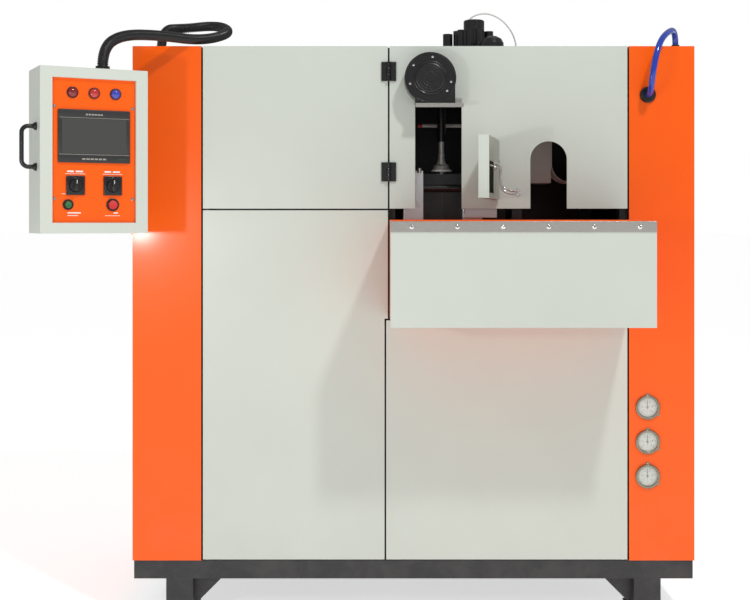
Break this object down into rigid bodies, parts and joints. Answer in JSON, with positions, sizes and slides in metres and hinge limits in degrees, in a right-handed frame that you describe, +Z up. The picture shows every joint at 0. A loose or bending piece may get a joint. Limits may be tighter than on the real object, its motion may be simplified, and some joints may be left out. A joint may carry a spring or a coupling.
{
  "type": "blow moulding machine",
  "caption": "Floor-standing bottle blow moulding machine: folded-sheet cabinet on a steel base, blow station behind a catch tray, fan, hatch and a swivelling control box.",
  "frame": {"origin": "on the floor at the centre of the four anchor holes", "axes": "+Z up, +X to the right seen from the front, the front faces -Y"},
  "size_m": [1.9148, 1.1929, 1.8622],
  "materials": {
    "orange": "gloss",
    "pale": "satin",
    "dark_frame": "satin",
    "inner_frame": "satin",
    "stainless": "brushed",
    "steel": "machined",
    "chrome": "polished",
    "aluminium": "machined",
    "black_plastic": "matte",
    "black_metal": "satin",
    "hose": "matte",
    "blue_tube": "gloss",
    "white_plastic": "satin",
    "screen": "gloss",
    "lens": "gloss",
    "green": "gloss",
    "red": "gloss",
    "dial": "matte",
    "glass": "clear",
    "lamp_glass": "clear",
    "mould": "anodised"
  },
  "bodies": {
    "machine": {"machine_frame": "dark_frame", "left_side_cover": "orange", "right_side_cover": "orange", "roof_panel": "pale", "rear_cover": "pale", "upper_front_panel": "pale", "blower_shelf": "stainless", "blower_housing": "black_metal", "blower_motor": "black_plastic", "catch_tray": "orange", "tray_apron": "pale", "tray_strip": "stainless", "front_screws": "steel", "hinge_leaves_fixed": "black_metal", "hinge_pins": "steel", "gauge_cases": "stainless", "gauge_dials": "dial", "gauge_windows": "glass", "cable_glands": "black_plastic", "air_hose": "blue_tube", "pendant_arm": "orange", "control_hose": "hose", "regulator_bodies": "black_metal", "gauge_tube": "white_plastic", "stretch_cylinder": "black_metal", "clamp_frame": "steel", "sensor_rod": "white_plastic", "oven_reflector": "stainless", "oven_lamps": "lamp_glass", "discharge_chute": "inner_frame"},
    "upper_door": {"upper_left_door": "pale", "hinge_leaves_door": "black_metal"},
    "lower_left": {"lower_left_door": "pale"},
    "lower_right": {"lower_right_door": "pale"},
    "hatch": {"hatch_door": "pale", "hatch_lining": "stainless", "guide_rod": "chrome"},
    "pendant": {"pendant_enclosure": "pale", "pendant_panel": "orange", "panel_screws": "steel", "hmi_terminal": "screen", "switch_bezels": "black_plastic", "pilot_lamps": "lens", "pendant_handle": "black_plastic", "pendant_gland": "black_plastic"},
    "start": {"start_button": "green"},
    "stop": {"stop_button": "red"},
    "selector_l": {"selector_left": "black_plastic"},
    "selector_r": {"selector_right": "black_plastic"},
    "needle_1": {"gauge_needle_1": "black_metal"},
    "needle_2": {"gauge_needle_2": "black_metal"},
    "needle_3": {"gauge_needle_3": "black_metal"},
    "fan": {"blower_wheel": "black_metal"},
    "pressure_knob": {"regulator_knob": "black_plastic"},
    "clamp_left": {"platen_left": "aluminium", "mould_half_left": "mould"},
    "clamp_right": {"platen_right": "aluminium", "mould_half_right": "mould"},
    "stretcher": {"stretch_rod": "chrome"},
    "nozzle": {"blow_nozzle": "chrome"}
  },
  "joints": [
    {"name": "upper_door_hinge", "type": "hinge", "parent": "machine", "child": "upper_door", "pos_m": [-0.074, -0.4068, 1.47], "axis": [0, 0, 1], "range_deg": [0, 105]},
    {"name": "lower_left_hinge", "type": "hinge", "parent": "machine", "child": "lower_left", "pos_m": [-0.6175, -0.39, 0.7], "axis": [0, 0, -1], "range_deg": [0, 95]},
    {"name": "lower_right_hinge", "type": "hinge", "parent": "machine", "child": "lower_right", "pos_m": [0.6275, -0.39, 0.53], "axis": [0, 0, 1], "range_deg": [0, 100]},
    {"name": "hatch_hinge", "type": "hinge", "parent": "machine", "child": "hatch", "pos_m": [0.251, -0.4105, 1.342], "axis": [0, 0, 1], "range_deg": [0, 102.5]},
    {"name": "pendant_swivel", "type": "hinge", "parent": "machine", "child": "pendant", "pos_m": [-0.957, -0.57, 1.204], "axis": [0, 0, 1], "range_deg": [-50, 30], "deforming": ["control_hose"]},
    {"name": "start_press", "type": "slide", "parent": "pendant", "child": "start", "axis": [-0.454, 0.891, 0], "range_m": [0, 0.003], "stiffness_N_per_m": 300},
    {"name": "stop_press", "type": "slide", "parent": "pendant", "child": "stop", "axis": [-0.454, 0.891, 0], "range_m": [0, 0.003], "stiffness_N_per_m": 300},
    {"name": "selector_left_turn", "type": "hinge", "parent": "pendant", "child": "selector_l", "pos_m": [-0.92753, -0.74017, 1.286], "axis": [0.454, -0.891, 0], "range_deg": [-45, 45]},
    {"name": "selector_right_turn", "type": "hinge", "parent": "pendant", "child": "selector_r", "pos_m": [-0.83665, -0.69386, 1.286], "axis": [0.454, -0.891, 0], "range_deg": [-45, 45]},
    {"name": "needle_1_turn", "type": "hinge", "parent": "machine", "child": "needle_1", "pos_m": [0.7, -0.4, 0.633], "axis": [0, 1, 0], "range_deg": [-135, 135], "stiffness_Nm_per_rad": 0.001},
    {"name": "needle_2_turn", "type": "hinge", "parent": "machine", "child": "needle_2", "pos_m": [0.7, -0.4, 0.53], "axis": [0, 1, 0], "range_deg": [-135, 135], "stiffness_Nm_per_rad": 0.001},
    {"name": "needle_3_turn", "type": "hinge", "parent": "machine", "child": "needle_3", "pos_m": [0.7, -0.4, 0.427], "axis": [0, 1, 0], "range_deg": [-135, 135], "stiffness_Nm_per_rad": 0.001},
    {"name": "fan_spin", "type": "hinge", "parent": "machine", "child": "fan", "pos_m": [0.048, -0.43, 1.611], "axis": [0, 1, 0], "continuous": true},
    {"name": "pressure_knob_turn", "type": "hinge", "parent": "machine", "child": "pressure_knob", "pos_m": [0.201, -0.15, 1.81], "axis": [0, 0, 1], "range_deg": [-150, 150]},
    {"name": "clamp_right_slide", "type": "slide", "parent": "machine", "child": "clamp_right", "axis": [1, 0, 0], "range_m": [0, 0.05]},
    {"name": "clamp_left_slide", "type": "slide", "parent": "machine", "child": "clamp_left", "axis": [-1, 0, 0], "range_m": [0, 0.05]},
    {"name": "stretch_slide", "type": "slide", "parent": "machine", "child": "stretcher", "axis": [0, 0, -1], "range_m": [0, 0.165]},
    {"name": "nozzle_slide", "type": "slide", "parent": "machine", "child": "nozzle", "axis": [0, 0, -1], "range_m": [0, 0.0075]}
  ],
  "couplings": [
    {"joint": "clamp_left_slide", "follows": "clamp_right_slide", "ratio": 1}
  ]
}
